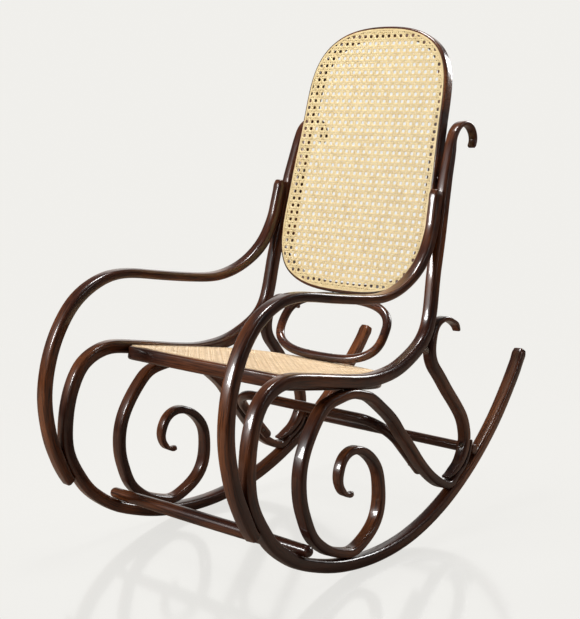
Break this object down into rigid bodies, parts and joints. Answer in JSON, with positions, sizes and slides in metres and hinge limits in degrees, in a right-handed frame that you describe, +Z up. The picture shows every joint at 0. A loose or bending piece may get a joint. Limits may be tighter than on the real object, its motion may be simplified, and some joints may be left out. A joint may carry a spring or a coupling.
{
  "type": "rocking chair",
  "caption": "Bentwood rocking chair with scrolled side frames, looped arms, curved runners and a woven cane seat and back.",
  "frame": {"origin": "on the floor, midway across the chair and midway between its frontmost and rearmost points", "axes": "+X to the sitter's left, the chair faces -Y, +Z up"},
  "size_m": [0.5526, 1.0185, 1.0618],
  "materials": {
    "stained_beech": "gloss",
    "cane": "satin",
    "screw_steel": "satin"
  },
  "bodies": {
    "root": {"left_side_member": "stained_beech", "right_side_member": "stained_beech", "left_arm": "stained_beech", "right_arm": "stained_beech", "left_scroll_brace": "stained_beech", "right_scroll_brace": "stained_beech", "left_rear_brace": "stained_beech", "right_rear_brace": "stained_beech", "under_seat_bow": "stained_beech", "front_stretcher": "stained_beech", "rear_stretcher": "stained_beech", "back_frame": "stained_beech", "back_frame_washers": "stained_beech", "lower_back_ring": "stained_beech", "seat_frame": "stained_beech", "back_cane": "cane", "back_cane_cord": "cane", "seat_cane": "cane", "seat_cane_cord": "cane", "arm_top_screws": "screw_steel", "arm_foot_screws": "screw_steel", "rail_screws": "screw_steel", "runner_screws": "screw_steel", "brace_top_screws": "screw_steel", "front_stretcher_screws": "screw_steel", "bow_screws": "screw_steel", "seat_screws": "screw_steel", "back_frame_screws": "screw_steel", "ring_screws": "screw_steel", "rear_brace_bolts": "screw_steel"}
  },
  "joints": []
}
